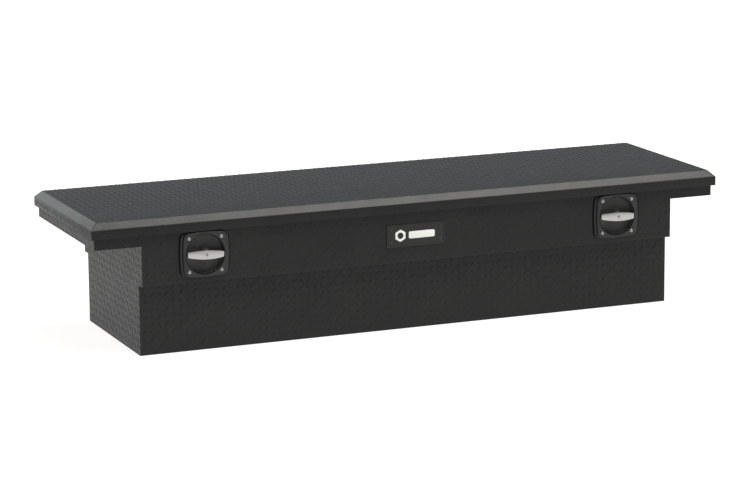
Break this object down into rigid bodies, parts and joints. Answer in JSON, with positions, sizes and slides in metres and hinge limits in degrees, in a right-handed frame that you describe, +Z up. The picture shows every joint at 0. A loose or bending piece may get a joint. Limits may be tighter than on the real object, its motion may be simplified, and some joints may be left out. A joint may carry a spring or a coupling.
{
  "type": "truck tool box",
  "caption": "Low crossover tool box for a pickup bed, in black tread plate, with a bevelled lid on gas struts, twist-bar latches and a sliding tray.",
  "frame": {"origin": "middle of the tub's underside", "axes": "+X along the box's length, -Y out of the front face with the twist bars, +Z up"},
  "size_m": [1.775, 0.5226, 0.361],
  "materials": {
    "black_tread_plate": "matte black textured powder coat on tread plate",
    "tray_black": "matte black powder coat",
    "satin_black": "satin black",
    "polished_bar": "satin polished",
    "stainless": "brushed",
    "zinc_plate": "zinc plated",
    "seal_rubber": "matte",
    "badge_grey": "dark anodised",
    "foam_core": "rigid foam",
    "nylon": "moulded"
  },
  "bodies": {
    "tub": {"tub_shell": "black_tread_plate", "end_wall_left": "black_tread_plate", "end_wall_right": "black_tread_plate", "wing_left": "black_tread_plate", "wing_right": "black_tread_plate", "rim_frame": "black_tread_plate", "rim_seal": "seal_rubber", "hinge_leaf_tub": "stainless", "hinge_pin": "stainless", "hinge_rivets_tub": "stainless", "handle_housing_left": "satin_black", "handle_housing_right": "satin_black", "housing_gasket_left": "seal_rubber", "housing_gasket_right": "seal_rubber", "housing_rivets": "stainless", "latch_base_left": "zinc_plate", "latch_base_right": "zinc_plate", "latch_cover_left": "zinc_plate", "latch_cover_right": "zinc_plate", "latch_screws": "zinc_plate", "latch_pivots": "stainless", "return_spring_left": "stainless", "return_spring_right": "stainless", "strut_mount_tub_left": "zinc_plate", "strut_mount_tub_right": "zinc_plate", "badge_plate": "badge_grey", "badge_rivets": "satin_black"},
    "lid": {"lid_skin": "black_tread_plate", "lid_core": "foam_core", "lid_pan": "black_tread_plate", "hinge_leaf_lid": "stainless", "hinge_rivets_lid": "stainless", "striker_left": "stainless", "striker_right": "stainless", "striker_screws": "stainless", "strut_mount_lid_left": "zinc_plate", "strut_mount_lid_right": "zinc_plate"},
    "strut_cylinder_left": {"strut_cylinder_left": "satin_black"},
    "strut_rod_left": {"strut_rod_left": "polished_bar"},
    "handle_left": {"twist_bar_left": "polished_bar", "handle_stem_left": "zinc_plate", "trip_cam_left": "zinc_plate", "stem_nut_left": "zinc_plate"},
    "key_left": {"lock_plug_left": "satin_black"},
    "fork_left": {"latch_fork_left": "zinc_plate"},
    "pawl_left": {"latch_pawl_left": "zinc_plate"},
    "strut_cylinder_right": {"strut_cylinder_right": "satin_black"},
    "strut_rod_right": {"strut_rod_right": "polished_bar"},
    "handle_right": {"twist_bar_right": "polished_bar", "handle_stem_right": "zinc_plate", "trip_cam_right": "zinc_plate", "stem_nut_right": "zinc_plate"},
    "key_right": {"lock_plug_right": "satin_black"},
    "fork_right": {"latch_fork_right": "zinc_plate"},
    "pawl_right": {"latch_pawl_right": "zinc_plate"},
    "tray": {"tool_tray": "tray_black", "tray_end_left": "tray_black", "tray_end_right": "tray_black", "tray_divider": "tray_black", "tray_glides": "nylon"}
  },
  "joints": [
    {"name": "lid_hinge", "type": "hinge", "parent": "tub", "child": "lid", "pos_m": [0, 0.249, 0.3225], "axis": [-1, 0, 0], "range_deg": [0, 80]},
    {"name": "strut_cylinder_swing_left", "type": "hinge", "parent": "tub", "child": "strut_cylinder_left", "pos_m": [-0.74, 0.195, 0.10923], "axis": [-1, 0, 0], "range_deg": [0, 40]},
    {"name": "strut_rod_swing_left", "type": "hinge", "parent": "lid", "child": "strut_rod_left", "pos_m": [-0.74, 0.02925, 0.312], "axis": [-1, 0, 0], "range_deg": [-40, 0]},
    {"name": "handle_turn_left", "type": "hinge", "parent": "tub", "child": "handle_left", "pos_m": [-0.587, -0.25, 0.259], "axis": [0, 1, 0], "range_deg": [0, 90], "stiffness_Nm_per_rad": 0.3, "springref_deg": -20.05},
    {"name": "key_turn_left", "type": "hinge", "parent": "handle_left", "child": "key_left", "pos_m": [-0.587, -0.26, 0.259], "axis": [0, 1, 0], "range_deg": [0, 90]},
    {"name": "pawl_lift_left", "type": "hinge", "parent": "tub", "child": "pawl_left", "pos_m": [-0.601, -0.2135, 0.273], "axis": [0, 1, 0], "range_deg": [0, 7]},
    {"name": "fork_turn_left", "type": "hinge", "parent": "tub", "child": "fork_left", "pos_m": [-0.572, -0.2135, 0.296], "axis": [0, -1, 0], "range_deg": [0, 75], "stiffness_Nm_per_rad": 0.02, "springref_deg": -22.92},
    {"name": "strut_cylinder_swing_right", "type": "hinge", "parent": "tub", "child": "strut_cylinder_right", "pos_m": [0.74, 0.195, 0.10923], "axis": [-1, 0, 0], "range_deg": [0, 40]},
    {"name": "strut_rod_swing_right", "type": "hinge", "parent": "lid", "child": "strut_rod_right", "pos_m": [0.74, 0.02925, 0.312], "axis": [-1, 0, 0], "range_deg": [-40, 0]},
    {"name": "handle_turn_right", "type": "hinge", "parent": "tub", "child": "handle_right", "pos_m": [0.587, -0.25, 0.259], "axis": [0, -1, 0], "range_deg": [0, 90], "stiffness_Nm_per_rad": 0.3, "springref_deg": -20.05},
    {"name": "key_turn_right", "type": "hinge", "parent": "handle_right", "child": "key_right", "pos_m": [0.587, -0.26, 0.259], "axis": [0, -1, 0], "range_deg": [0, 90]},
    {"name": "pawl_lift_right", "type": "hinge", "parent": "tub", "child": "pawl_right", "pos_m": [0.601, -0.2135, 0.273], "axis": [0, -1, 0], "range_deg": [0, 7]},
    {"name": "fork_turn_right", "type": "hinge", "parent": "tub", "child": "fork_right", "pos_m": [0.572, -0.2135, 0.296], "axis": [0, 1, 0], "range_deg": [0, 75], "stiffness_Nm_per_rad": 0.02, "springref_deg": -22.92},
    {"name": "tray_slide", "type": "slide", "parent": "tub", "child": "tray", "axis": [1, 0, 0], "range_m": [-0.5, 0.5]}
  ],
  "couplings": [
    {"joint": "strut_cylinder_swing_left", "follows": "lid_hinge", "ratio": 0.5},
    {"joint": "strut_rod_swing_left", "follows": "lid_hinge", "ratio": -0.5},
    {"joint": "pawl_lift_left", "follows": "handle_turn_left", "ratio": 0.077778},
    {"joint": "strut_cylinder_swing_right", "follows": "lid_hinge", "ratio": 0.5},
    {"joint": "strut_rod_swing_right", "follows": "lid_hinge", "ratio": -0.5},
    {"joint": "pawl_lift_right", "follows": "handle_turn_right", "ratio": 0.077778}
  ]
}
